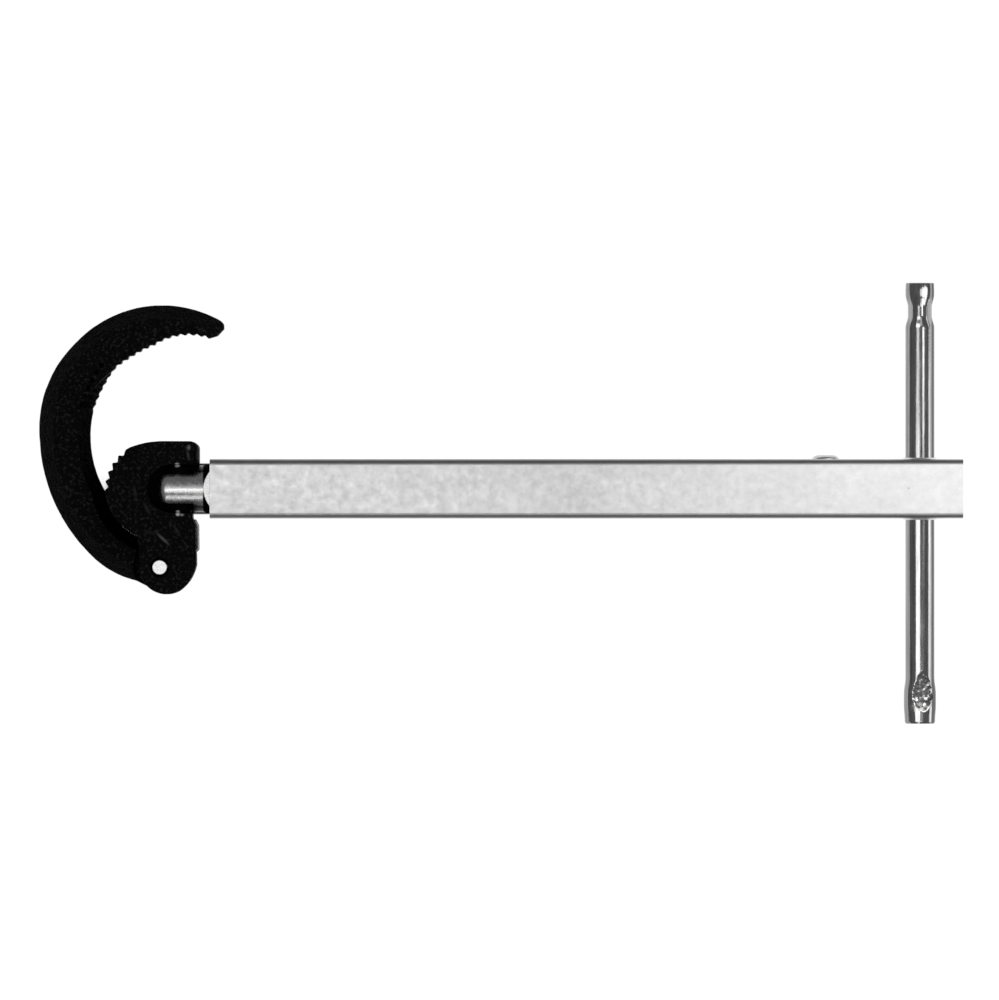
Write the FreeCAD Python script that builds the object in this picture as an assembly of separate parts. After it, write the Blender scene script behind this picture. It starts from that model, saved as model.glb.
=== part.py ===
import FreeCAD, Part
import math
import os

from FreeCAD import Vector

# Telescoping basin wrench lying flat.  Millimetres, +Z up, +X towards the tee bar.
# The origin is the middle of the underside of the outer tube.

# ---- outer tube ----
TUBE_WIDTH = 18.0
TUBE_LENGTH = 228.0
TUBE_WALL = 1.7
TUBE_EDGE_R = 1.9
TUBE_INNER_R = 0.5
LIP_HEIGHT = 0.4
LIP_WALL = 0.5
LOCK_HOLE_DIA = 8.1
LOCK_HOLES = 7
TRAVEL = 140.0
LOCK_PITCH = TRAVEL / (LOCK_HOLES - 1)

# ---- stations along the tool ----
AXIS_Z = TUBE_WIDTH / 2
TUBE_FRONT_X = -TUBE_LENGTH / 2
SWIVEL_X = TUBE_FRONT_X - 9.4
BUTTON_X = SWIVEL_X + 195.9
BAR_X = SWIVEL_X + 224.5

# ---- inner shaft (stations measured from the swivel axis) ----
SHAFT_WIDTH = 14.4
SHAFT_EDGE_R = 0.9
SHAFT_REAR = 212.0
NECK_DIA = 14.2
NECK_END = 7.35
FLATS_END = 4.5
SHOULDER_LENGTH = 3.8
SHOULDER_SLOPE = 0.9
NOSE_FRONT = -6.35
TONGUE_THICK = 8.9
NOSE_R = 2.6
NOSE_CORNER_R = 3.2
TONGUE_HOLE_DIA = 5.12
BUTTON_BORE_DIA = 9.9
BUTTON_BORE_FLOOR = -1.2

# ---- lock button and its spring ----
BUTTON_DIA = 7.9
BUTTON_PROUD = 1.2
BUTTON_CROWN = 1.1
BUTTON_CROWN_DIA = 4.3
BUTTON_FLANGE_DIA = 9.7
BUTTON_FLANGE = 1.2
BUTTON_HOLLOW_DIA = 5.4
BUTTON_HOLLOW_TOP = 8.2
FLANGE_GAP = 0.05
BUTTON_SPRING_DIA = 4.9
BUTTON_SPRING_WIRE = 0.6
BUTTON_SPRING_TURNS = 6

# ---- sliding tee bar ----
BAR_DIA = 8.8
BAR_HOLE_DIA = 8.9
OVAL_POINTS = 32
EASE_STEPS = 5
# stations along the bar: (y, half width across X, half width across Z, eased to the next one)
BAR_STATIONS = (
    (-71.2, 4.1, 4.0, False),
    (-70.6, 4.6, 4.4, True),
    (-65.0, 4.9, 4.4, False),
    (-62.6, 4.9, 4.4, True),
    (-56.8, 4.4, 4.4, False),
    (48.8, 4.4, 4.4, True),
    (52.6, 3.64, 4.9, False),
    (55.0, 3.64, 4.9, True),
    (58.8, 4.4, 4.25, False),
    (61.9, 4.4, 3.9, False),
    (62.4, 4.0, 3.5, False),
)
DIMPLE_START_Y = -54.9
DIMPLE_LOW_Y = -63.0
DIMPLE_END_Y = -67.2
DIMPLE_DEPTH = 1.4
DIMPLE_TURN = 11.0

# ---- jaw head (outline measured from the swivel axis) ----
HEAD_THICK = 16.5
HEAD_SLOT_R = 7.45
HEAD_SLOT_CENTRE_X = -2.1
HEAD_REAR_R = 3.0
EAR_REAR_X = 6.25
LIP_REAR_X = 4.2
EAR_CORNER = ((EAR_REAR_X, 12.4), (5.4, 13.5), (3.4, 14.35))
HEAD_CROWN = ((-2.6, 14.4), (-9.2, 14.0), (-14.8, 12.5))
LIP_CORNERS = ((5.2, -11.2), (LIP_REAR_X, -8.8))
HEAD_NOSE = ((-15.95, 11.8), (-20.7, 6.42), (-22.3, -0.6))
HEAD_FLANK = ((-22.3, -0.6), (-18.9, -9.3), (-12.4, -14.3))
LUG_LOW = ((-11.7, -23.1), (-6.0, -31.6), (0.3, -30.9))
LUG_REAR = ((0.3, -30.9), (3.25, -27.9), (5.35, -23.0))
HEAD_TEETH = 5
HEAD_TOOTH_DEPTH = 1.1
CLEVIS_TOP_Y = -14.5
CLEVIS_REACH = 30.0
CLEVIS_LOW_Z = -3.9
CLEVIS_HIGH_Z = 4.1

# ---- hook jaw (outline measured from the swivel axis) ----
HOOK_THICK = 11.0
BACK_BEVEL_WIDE = 4.2
BACK_BEVEL_DEEP = 3.0
HEEL_BEVEL_WIDE = 3.9
HEEL_BEVEL_DEEP = 2.8
HOOK_CLEARANCE = 0.25
TAIL_THICK = 4.8
TAIL_LOW_Z = -3.7
TAIL_R = 6.9
TAIL_WEB = ((-13.8, -16.2), (-7.8, -17.3), (-7.8, -30.3), (-15.5, -26.6), (-18.0, -21.0))
SHOULDER_R = 8.0
HOOK_BACK = (
    ((12.7, 50.8), (-7.6, 55.45), (-31.0, 44.45)),
    ((-31.0, 44.45), (-40.25, 30.2), (-42.1, 14.0)),
    ((-42.1, 14.0), (-37.3, -5.0), (-25.2, -21.4)),
    ((-25.2, -21.4), (-19.8, -25.2), (-13.0, -27.8)),
)
HOOK_TIP = ((12.7, 50.8), (13.6, 49.8), (13.7, 48.4), (11.7, 46.3), (9.1, 45.5))
HEEL_MIDDLE = (-26.45, 10.6)
LUG_SIDE = (-12.75, -20.5)
UPPER_TEETH_A = ((9.1, 45.5), (1.0, 46.4), (-7.3, 43.5))
UPPER_TEETH_B = ((-7.3, 43.5), (-13.3, 40.5), (-19.3, 36.4))
HEEL_TEETH_ARC = ((-19.3, 36.4), (-23.3, 29.9), (-26.05, 23.3))
UPPER_TEETH_A_COUNT = 7
UPPER_TEETH_B_COUNT = 6
HEEL_TEETH = 6
HOOK_TOOTH_DEPTH = 0.7
HEEL_TOOTH_DEPTH = 0.45
HEEL_GROOVE_DEPTH = 0.75
HEEL_GROOVE_LAND = 0.1
HEEL_GROOVE_RUN = 0.12

# ---- hook pivot pin: a plain pin with chamfered ends ----
PIVOT_X = -5.76
PIVOT_Y = -23.8
PIVOT_PIN_DIA = 6.0
PIVOT_PIN_CHAMFER = 0.85
PIVOT_PIN_LENGTH = 16.3
PIVOT_HOLE_DIA = 6.0
TAIL_HOLE_DIA = 6.16

# ---- hook torsion spring ----
SPRING_WIRE = 0.9
SPRING_COIL_R = 4.3
SPRING_TURNS = 2
SPRING_LOW_Z = 1.7
SPRING_PITCH = 0.95
LEG_REACH = 10.0
LEG_BENDS = ((4.6, -19.5), (5.85, -18.2), (5.75, -11.2), (4.95, -9.7))
LEG_SLACK = 0.4
LEG_HOLE_DIA = 1.3

# ---- swivel pin and friction washers ----
SWIVEL_PIN_DIA = 5.0
SWIVEL_PIN_TOP = 14.0
SWIVEL_PIN_BOTTOM = -13.6
WASHER_DIA = 8.6
WASHER_BORE = 5.1
WASHER_GAP = 0.12
WASHER_DISH = 0.9

# ---- saw teeth, as parts of one tooth pitch ----
CREST_LAND = 0.05
TOOTH_LEAN = 0.6

# ---- working allowances ----
OVERCUT = 1.0
TOUCH = 0.01
LIP_ROOT = 0.2

X_AXIS = Vector(1, 0, 0)
Y_AXIS = Vector(0, 1, 0)
Z_AXIS = Vector(0, 0, 1)


def at_swivel(x, y, z=0.0):
    """A point measured from the swivel axis at mid height."""
    return Vector(SWIVEL_X + x, y, AXIS_Z + z)


def rounded_bar(width, length, edge_r, x_start):
    """Square bar along X, centred on the tool's axis, with rounded long edges."""
    half = width / 2
    bar = Part.makeBox(length, width, width, Vector(x_start, -half, AXIS_Z - half))
    long_edges = []
    for edge in bar.Edges:
        if abs(edge.tangentAt(edge.FirstParameter).x) > 1 - TOUCH:
            long_edges.append(edge)
    return bar.makeFillet(edge_r, long_edges)


def rod_along_y(dia, x, y_low, y_high):
    """Round rod along Y at mid height."""
    return Part.makeCylinder(dia / 2, y_high - y_low, Vector(x, y_low, AXIS_Z), Y_AXIS)


def rod_along_z(dia, x, y, z_low, z_high):
    """Round rod along Z, its centre given from the swivel axis."""
    return Part.makeCylinder(dia / 2, z_high - z_low, at_swivel(x, y, z_low), Z_AXIS)


def plate(edges, z_low, z_high):
    """Flat plate from a closed chain of edges drawn at mid height."""
    wire = Part.Wire(Part.__sortEdges__(edges))
    face = Part.Face(wire)
    face.translate(Vector(0, 0, z_low))
    return face.extrude(Vector(0, 0, z_high - z_low))


def line(start, end):
    """Straight edge between two points given from the swivel axis."""
    return Part.LineSegment(at_swivel(*start), at_swivel(*end)).toShape()


def arc(start, middle, end):
    """Round edge through three points given from the swivel axis."""
    return Part.Arc(at_swivel(*start), at_swivel(*middle), at_swivel(*end)).toShape()


def polyline(points):
    """Straight edges through a list of points given from the swivel axis."""
    edges = []
    for start, end in zip(points, points[1:]):
        edges.append(line(start, end))
    return edges


def grooves(start, middle, end, count, depth, side, half):
    """Saw-tooth grooves across the arc start-middle-end, cut towards the given side."""
    curve = Part.Arc(at_swivel(*start), at_swivel(*middle), at_swivel(*end))
    first = curve.FirstParameter
    step = (curve.LastParameter - first) / count
    tools = []
    for tooth in range(count):
        low_at = first + (tooth + CREST_LAND) * step
        high_at = first + (tooth + 1 - CREST_LAND) * step
        valley_at = first + (tooth + TOOTH_LEAN) * step
        along = curve.tangent(valley_at)[0]
        inward = Vector(-along.y, along.x, 0) * side
        low = curve.value(low_at)
        high = curve.value(high_at)
        valley = curve.value(valley_at) + inward * depth
        corners = [low, valley, high, high - inward * OVERCUT, low - inward * OVERCUT, low]
        face = Part.Face(Part.makePolygon(corners))
        face.translate(Vector(0, 0, -half - OVERCUT))
        tools.append(face.extrude(Vector(0, 0, 2 * (half + OVERCUT))))
    return Part.makeCompound(tools)


def bevel_grooves(start, middle, end, count, depth, half):
    """V grooves that run down both heel bevels, one for each tooth of the arc."""
    curve = Part.Arc(at_swivel(*start), at_swivel(*middle), at_swivel(*end))
    first = curve.FirstParameter
    step = (curve.LastParameter - first) / count
    tools = []
    for tooth in range(count):
        at = first + (tooth + TOOTH_LEAN) * step
        along = curve.tangent(at)[0]
        inward = Vector(along.y, -along.x, 0)
        half_pitch = (curve.value(at + step / 2) - curve.value(at)).Length * (1 - CREST_LAND)
        for way in (1, -1):
            rim = curve.value(at) + Z_AXIS * way * (half - HEEL_BEVEL_DEEP)
            slope = inward * HEEL_BEVEL_WIDE + Z_AXIS * way * HEEL_BEVEL_DEEP
            out = (Z_AXIS * way * HEEL_BEVEL_WIDE - inward * HEEL_BEVEL_DEEP).normalize()
            foot = rim - slope * HEEL_GROOVE_RUN
            left = foot + along * half_pitch + out * HEEL_GROOVE_LAND
            right = foot - along * half_pitch + out * HEEL_GROOVE_LAND
            valley = foot - out * depth
            face = Part.Face(Part.makePolygon([left, valley, right, left]))
            tools.append(face.extrude(slope * (1 + 2 * HEEL_GROOVE_RUN)))
    return Part.makeCompound(tools)


def outer_tube():
    """Square handle tube with tee-bar holes, raised hole lips and the row of lock holes."""
    tube = rounded_bar(TUBE_WIDTH, TUBE_LENGTH, TUBE_EDGE_R, TUBE_FRONT_X)
    half = TUBE_WIDTH / 2
    lip_r = BAR_HOLE_DIA / 2 + LIP_WALL
    for side in (1, -1):
        root = Vector(BAR_X, side * (half - LIP_ROOT), AXIS_Z)
        lip = Part.makeCone(lip_r + LIP_HEIGHT, lip_r, LIP_HEIGHT + LIP_ROOT, root, Y_AXIS * side)
        tube = tube.fuse(lip)
    opening = TUBE_WIDTH - 2 * TUBE_WALL
    tube = tube.cut(rounded_bar(opening, TUBE_LENGTH + 2 * OVERCUT, TUBE_INNER_R,
                                TUBE_FRONT_X - OVERCUT))
    tube = tube.cut(rod_along_y(BAR_HOLE_DIA, BAR_X, -TUBE_WIDTH, TUBE_WIDTH))
    for hole in range(LOCK_HOLES):
        x = BUTTON_X - hole * LOCK_PITCH
        tube = tube.cut(rod_along_y(LOCK_HOLE_DIA, x, 0, TUBE_WIDTH))
    return tube.removeSplitter()


def shoulder_body():
    """Turned cone that runs from the neck out past the corners of the square bar."""
    start_r = NECK_DIA / 2
    end_r = start_r + SHOULDER_LENGTH * SHOULDER_SLOPE
    start = at_swivel(NECK_END, 0)
    cone = Part.makeCone(start_r, end_r, SHOULDER_LENGTH, start, X_AXIS)
    rest = SHAFT_REAR - NECK_END - SHOULDER_LENGTH
    behind = Part.makeCylinder(end_r, rest, at_swivel(NECK_END + SHOULDER_LENGTH, 0), X_AXIS)
    return cone.fuse(behind)


def tongue():
    """Round neck with a domed nose and two milled flats for the swivel pin."""
    half = TONGUE_THICK / 2
    length = NECK_END - NOSE_FRONT + TOUCH
    neck = Part.makeCylinder(NECK_DIA / 2, length, at_swivel(NOSE_FRONT, 0), X_AXIS)
    nose_rim = [e for e in neck.Edges if e.BoundBox.XMax < SWIVEL_X + NOSE_FRONT + TOUCH]
    neck = neck.makeFillet(NOSE_R, nose_rim)
    front = NOSE_FRONT
    round_x = NOSE_FRONT + NOSE_CORNER_R
    round_y = half - NOSE_CORNER_R
    knee = NOSE_CORNER_R * (1 - math.sqrt(0.5))
    end = NECK_END + OVERCUT
    side = NECK_DIA
    flats = FLATS_END
    outline = [
        line((front, -round_y), (front, round_y)),
        arc((front, round_y), (front + knee, half - knee), (round_x, half)),
        line((round_x, half), (flats, half)),
        line((flats, half), (flats, side)),
        line((flats, side), (end, side)),
        line((end, side), (end, -side)),
        line((end, -side), (flats, -side)),
        line((flats, -side), (flats, -half)),
        line((flats, -half), (round_x, -half)),
        arc((round_x, -half), (front + knee, knee - half), (front, -round_y)),
    ]
    return neck.common(plate(outline, -NECK_DIA, NECK_DIA))


def inner_shaft():
    """Square sliding shaft: tongue, turned shoulder, and the bore for the lock button."""
    length = SHAFT_REAR - NECK_END
    square = rounded_bar(SHAFT_WIDTH, length, SHAFT_EDGE_R, SWIVEL_X + NECK_END)
    shaft = square.common(shoulder_body()).fuse(tongue())
    shaft = shaft.cut(rod_along_y(TONGUE_HOLE_DIA, SWIVEL_X, -SHAFT_WIDTH, SHAFT_WIDTH))
    shaft = shaft.cut(rod_along_y(BUTTON_BORE_DIA, BUTTON_X, BUTTON_BORE_FLOOR, SHAFT_WIDTH))
    return shaft.removeSplitter()


def lock_button():
    """Flanged push button with a flattened dome, hollow underneath for its spring."""
    half = TUBE_WIDTH / 2
    top = half + BUTTON_PROUD
    seat = half - TUBE_WALL - FLANGE_GAP
    flange = rod_along_y(BUTTON_FLANGE_DIA, BUTTON_X, seat - BUTTON_FLANGE, seat)
    stem = rod_along_y(BUTTON_DIA, BUTTON_X, seat - BUTTON_FLANGE, top - BUTTON_CROWN)
    crown = Part.makeCone(BUTTON_DIA / 2, BUTTON_CROWN_DIA / 2, BUTTON_CROWN,
                          Vector(BUTTON_X, top - BUTTON_CROWN, AXIS_Z), Y_AXIS)
    hollow = rod_along_y(BUTTON_HOLLOW_DIA, BUTTON_X, 0, BUTTON_HOLLOW_TOP)
    return flange.fuse(stem).fuse(crown).cut(hollow).removeSplitter()


def coil(radius, wire_dia, pitch, turns, centre, axis):
    """Round wire wound into an open helix that starts at centre and grows along axis."""
    helix = Part.makeHelix(pitch, pitch * turns, radius)
    section_circle = Part.Circle(Vector(radius, 0, 0), Y_AXIS, wire_dia / 2).toShape()
    section = Part.Wire([section_circle])
    spring = Part.Wire(helix).makePipeShell([section], True, True)
    spring.Placement = FreeCAD.Placement(centre, FreeCAD.Rotation(Z_AXIS, axis))
    return spring


def button_spring():
    """Compression spring between the bottom of the shaft's bore and the button."""
    low = BUTTON_BORE_FLOOR + BUTTON_SPRING_WIRE / 2 + FLANGE_GAP
    high = BUTTON_HOLLOW_TOP - BUTTON_SPRING_WIRE / 2 - FLANGE_GAP
    pitch = (high - low) / BUTTON_SPRING_TURNS
    radius = (BUTTON_SPRING_DIA - BUTTON_SPRING_WIRE) / 2
    return coil(radius, BUTTON_SPRING_WIRE, pitch, BUTTON_SPRING_TURNS,
                Vector(BUTTON_X, low, AXIS_Z), Y_AXIS)


def bar_section(y, half_x, half_z):
    """Closed oval cross-section of the tee bar."""
    points = []
    for step in range(OVAL_POINTS):
        angle = 2 * math.pi * step / OVAL_POINTS
        points.append(Vector(BAR_X + half_x * math.cos(angle), y,
                             AXIS_Z + half_z * math.sin(angle)))
    curve = Part.BSplineCurve()
    curve.interpolate(Points=points, PeriodicFlag=True)
    return Part.Wire([curve.toShape()])


def bar_sections():
    """Every cross-section of the tee bar, with eased ones where it is pinched."""
    sections = []
    for low, high in zip(BAR_STATIONS, BAR_STATIONS[1:]):
        steps = EASE_STEPS if low[3] else 1
        for step in range(steps):
            share = (1 - math.cos(math.pi * step / steps)) / 2
            y = low[0] + (high[0] - low[0]) * step / steps
            half_x = low[1] + (high[1] - low[1]) * share
            half_z = low[2] + (high[2] - low[2]) * share
            sections.append(bar_section(y, half_x, half_z))
    end = BAR_STATIONS[-1]
    sections.append(bar_section(end[0], end[1], end[2]))
    return sections


def dimple(side):
    """Almond-shaped punch mark cut into one face of the tee bar's lower end."""
    radius = BAR_DIA / 2 * side
    low = AXIS_Z + radius - DIMPLE_DEPTH * side
    high = AXIS_Z + radius + OVERCUT * side
    surface = AXIS_Z + radius
    corners = (
        Vector(BAR_X - BAR_DIA, DIMPLE_START_Y, surface),
        Vector(BAR_X - BAR_DIA, DIMPLE_LOW_Y, low),
        Vector(BAR_X - BAR_DIA, DIMPLE_END_Y, surface),
        Vector(BAR_X - BAR_DIA, DIMPLE_END_Y, high),
        Vector(BAR_X - BAR_DIA, DIMPLE_START_Y, high),
    )
    wire = Part.makePolygon(list(corners) + [corners[0]])
    wedge = Part.Face(wire).extrude(Vector(2 * BAR_DIA, 0, 0))
    wedge.rotate(Vector(BAR_X, 0, AXIS_Z), Y_AXIS, DIMPLE_TURN)
    return wedge


def t_bar():
    """Sliding tommy bar with both ends pinched so that it cannot leave the tube."""
    bar = Part.makeLoft(bar_sections(), True, True)
    for side in (1, -1):
        bar = bar.cut(dimple(side))
    return bar


def head_outline():
    """Front outline of the jaw head, with the slot for the tongue."""
    slot_x = HEAD_SLOT_CENTRE_X
    slot_r = HEAD_SLOT_R
    return [
        line((EAR_REAR_X, slot_r), EAR_CORNER[0]),
        arc(*EAR_CORNER),
        line(EAR_CORNER[2], HEAD_CROWN[0]),
        arc(*HEAD_CROWN),
        line(HEAD_CROWN[2], HEAD_NOSE[0]),
        arc(*HEAD_NOSE),
        arc(*HEAD_FLANK),
        line(HEAD_FLANK[2], LUG_LOW[0]),
        arc(*LUG_LOW),
        arc(*LUG_REAR),
        line(LUG_REAR[2], LIP_CORNERS[0]),
        line(LIP_CORNERS[0], LIP_CORNERS[1]),
        line(LIP_CORNERS[1], (LIP_REAR_X, -slot_r)),
        line((LIP_REAR_X, -slot_r), (slot_x, -slot_r)),
        arc((slot_x, -slot_r), (slot_x - slot_r, 0), (slot_x, slot_r)),
        line((slot_x, slot_r), (EAR_REAR_X, slot_r)),
    ]


def head_rear_trim():
    """Space outside the rounded rear corners of the head."""
    half = HEAD_THICK / 2
    reach = 2 * HEAD_THICK
    corner = at_swivel(EAR_REAR_X - HEAD_REAR_R, -reach, half - HEAD_REAR_R)
    block = Part.makeBox(HEAD_REAR_R, 2 * reach, HEAD_REAR_R, corner)
    upper = block.cut(Part.makeCylinder(HEAD_REAR_R, 2 * reach, corner, Y_AXIS))
    lower = upper.mirror(at_swivel(0, 0), Z_AXIS)
    return upper.fuse(lower)


def jaw_head():
    """Cast head: toothed heel jaw, slot for the tongue, and two lugs for the hook."""
    half = HEAD_THICK / 2
    head = plate(head_outline(), -half, half)
    head = head.cut(grooves(*HEAD_NOSE, HEAD_TEETH, HEAD_TOOTH_DEPTH, 1, half))
    head = head.cut(head_rear_trim())
    clevis = Part.makeBox(2 * CLEVIS_REACH, CLEVIS_REACH, CLEVIS_HIGH_Z - CLEVIS_LOW_Z,
                          at_swivel(-CLEVIS_REACH, CLEVIS_TOP_Y - CLEVIS_REACH, CLEVIS_LOW_Z))
    head = head.cut(clevis)
    head = head.cut(rod_along_z(PIVOT_HOLE_DIA, PIVOT_X, PIVOT_Y, -HEAD_THICK, HEAD_THICK))
    head = head.cut(rod_along_y(SWIVEL_PIN_DIA, SWIVEL_X, CLEVIS_TOP_Y - OVERCUT, CLEVIS_REACH))
    return head.removeSplitter()


def hook_outer_edges():
    """Back of the hook from its tip round to the shoulder by the pivot."""
    return [arc(*stretch) for stretch in HOOK_BACK]


def hook_mouth_edges():
    """Inside of the hook from its blunt tip to the corner where the heel teeth start."""
    return polyline(HOOK_TIP) + [arc(*UPPER_TEETH_A), arc(*UPPER_TEETH_B)]


def clear_of_head(points):
    """The given points on the head's flank, moved outwards by the hook's clearance."""
    flank = arc(*HEAD_FLANK).Curve
    centre = flank.Center
    moved = []
    for point in points:
        spoke = (at_swivel(*point) - centre).normalize()
        place = centre + spoke * (flank.Radius + HOOK_CLEARANCE)
        moved.append((place.x - SWIVEL_X, place.y))
    return moved


def hook_heel_edges():
    """Inside of the hook from the heel teeth down along the flank of the head."""
    flank = clear_of_head(HEAD_FLANK)
    return [
        arc(*HEEL_TEETH_ARC),
        arc(HEEL_TEETH_ARC[2], HEEL_MIDDLE, flank[0]),
        arc(*flank),
    ]


def lies_on(edge, curves):
    """True when the middle of a flat edge falls on one of the curves seen from above."""
    middle = edge.valueAt((edge.FirstParameter + edge.LastParameter) / 2)
    flat = Part.Vertex(Vector(middle.x, middle.y, AXIS_Z))
    return min(flat.distToShape(curve)[0] for curve in curves) < TOUCH


def rim_edges(body, half, curves):
    """Edges of the two flat faces that follow the given curves."""
    found = []
    for edge in body.Edges:
        height = abs(edge.CenterOfMass.z - AXIS_Z)
        if abs(height - half) < TOUCH and lies_on(edge, curves):
            found.append(edge)
    return found


def hook_body():
    """Thick bevelled part of the hook, ending in a round shoulder about the pivot."""
    half = HOOK_THICK / 2
    start = clear_of_head(HEAD_FLANK)[2]
    outer = hook_outer_edges()
    heel = hook_heel_edges()
    edges = outer + hook_mouth_edges() + heel
    edges += polyline([start, LUG_SIDE, (PIVOT_X, PIVOT_Y), HOOK_BACK[-1][2]])
    body = plate(edges, -half, half)
    body = body.makeChamfer(BACK_BEVEL_DEEP, BACK_BEVEL_WIDE, rim_edges(body, half, outer))
    body = body.makeChamfer(HEEL_BEVEL_WIDE, HEEL_BEVEL_DEEP, rim_edges(body, half, heel))
    body = body.cut(grooves(*UPPER_TEETH_A, UPPER_TEETH_A_COUNT, HOOK_TOOTH_DEPTH, -1, half))
    body = body.cut(grooves(*UPPER_TEETH_B, UPPER_TEETH_B_COUNT, HOOK_TOOTH_DEPTH, -1, half))
    body = body.cut(grooves(*HEEL_TEETH_ARC, HEEL_TEETH, HEEL_TOOTH_DEPTH, -1, half))
    body = body.cut(bevel_grooves(*HEEL_TEETH_ARC, HEEL_TEETH, HEEL_GROOVE_DEPTH, half))
    shoulder = rod_along_z(2 * SHOULDER_R, PIVOT_X, PIVOT_Y, -2 * half, 2 * half)
    return body.cut(shoulder)


def hook_tail():
    """Thin eye of the hook that sits between the lugs of the head."""
    z_low = TAIL_LOW_Z
    z_high = TAIL_LOW_Z + TAIL_THICK
    eye = rod_along_z(2 * TAIL_R, PIVOT_X, PIVOT_Y, z_low, z_high)
    web = plate(polyline(TAIL_WEB + TAIL_WEB[:1]), z_low, z_high)
    return eye.fuse(web)


def hook_jaw():
    """Curved toothed hook with its eye."""
    body = hook_body().fuse(hook_tail())
    body = body.cut(rod_along_z(TAIL_HOLE_DIA, PIVOT_X, PIVOT_Y, -HEAD_THICK, HEAD_THICK))
    leg_start = at_swivel(PIVOT_X, PIVOT_Y + SPRING_COIL_R, SPRING_LOW_Z)
    body = body.cut(Part.makeCylinder(LEG_HOLE_DIA / 2, LEG_REACH + LEG_SLACK, leg_start, X_AXIS * -1))
    return body.removeSplitter()


def hook_pivot_pin():
    """Solid pin through both lugs and the hook's eye, its flat ends chamfered."""
    half = PIVOT_PIN_LENGTH / 2
    pin = rod_along_z(PIVOT_PIN_DIA, PIVOT_X, PIVOT_Y, -half, half)
    rims = [e for e in pin.Edges if e.BoundBox.ZLength < TOUCH]
    return pin.makeChamfer(PIVOT_PIN_CHAMFER, rims)


def bent_wire(points, dia):
    """Round wire with rounded knees through a list of points from the swivel axis."""
    wire = None
    for start, end in zip(points, points[1:]):
        a = at_swivel(*start)
        run = at_swivel(*end) - a
        piece = Part.makeCylinder(dia / 2, run.Length, a, run)
        piece = piece.fuse(Part.makeSphere(dia / 2, a))
        wire = piece if wire is None else wire.fuse(piece)
    return wire.fuse(Part.makeSphere(dia / 2, at_swivel(*points[-1])))


def hook_spring():
    """Torsion spring beside the hook's eye: one leg in the hook, one up the head's back."""
    low = SPRING_LOW_Z
    high = low + SPRING_PITCH * SPRING_TURNS
    top_y = PIVOT_Y + SPRING_COIL_R
    winding = coil(SPRING_COIL_R, SPRING_WIRE, SPRING_PITCH, SPRING_TURNS, Vector(0, 0, 0),
                   Z_AXIS)
    winding.rotate(Vector(0, 0, 0), X_AXIS, 180)
    winding.rotate(Vector(0, 0, 0), Z_AXIS, 90)
    winding.translate(at_swivel(PIVOT_X, PIVOT_Y, high))
    hook_leg = bent_wire([(PIVOT_X, top_y, low), (PIVOT_X - LEG_REACH, top_y, low)], SPRING_WIRE)
    bends = [(x, y, high) for x, y in LEG_BENDS]
    head_leg = bent_wire([(PIVOT_X, top_y, high)] + bends, SPRING_WIRE)
    return winding.fuse(hook_leg).fuse(head_leg)


def swivel_pin():
    """Plain pin pressed into the head, on which the head tips over the tongue."""
    return rod_along_y(SWIVEL_PIN_DIA, SWIVEL_X, SWIVEL_PIN_BOTTOM, SWIVEL_PIN_TOP)


def swivel_washer(side):
    """Dished friction washer between one flat of the tongue and the head."""
    inner_y = TONGUE_THICK / 2 + WASHER_GAP
    outer_y = HEAD_SLOT_R - WASHER_GAP
    low = min(side * inner_y, side * outer_y)
    high = max(side * inner_y, side * outer_y)
    washer = rod_along_y(WASHER_DIA, SWIVEL_X, low, high)
    washer = washer.cut(rod_along_y(WASHER_BORE, SWIVEL_X, low - OVERCUT, high + OVERCUT))
    rim_y = side * outer_y
    rims = []
    for edge in washer.Edges:
        box = edge.BoundBox
        flat = abs(box.YMin - rim_y) < TOUCH and abs(box.YMax - rim_y) < TOUCH
        if flat and box.XLength > WASHER_BORE + OVERCUT:
            rims.append(edge)
    return washer.makeChamfer(WASHER_DISH, rims)


def save(name, shape):
    """Write one named piece and say whether it is one valid solid."""
    shape.exportStep("parts/" + name + ".step")
    print(name, shape.isValid(), len(shape.Solids), round(shape.Volume, 1))


os.makedirs("parts", exist_ok=True)
save("outer_tube", outer_tube())
save("inner_shaft", inner_shaft())
save("lock_button", lock_button())
save("button_spring", button_spring())
save("t_bar", t_bar())
save("jaw_head", jaw_head())
save("hook_jaw", hook_jaw())
save("hook_pivot_pin", hook_pivot_pin())
save("hook_spring", hook_spring())
save("swivel_pin", swivel_pin())
save("swivel_washer_upper", swivel_washer(1))
save("swivel_washer_lower", swivel_washer(-1))
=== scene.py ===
import math

import bmesh
import bpy
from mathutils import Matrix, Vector, noise


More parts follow.
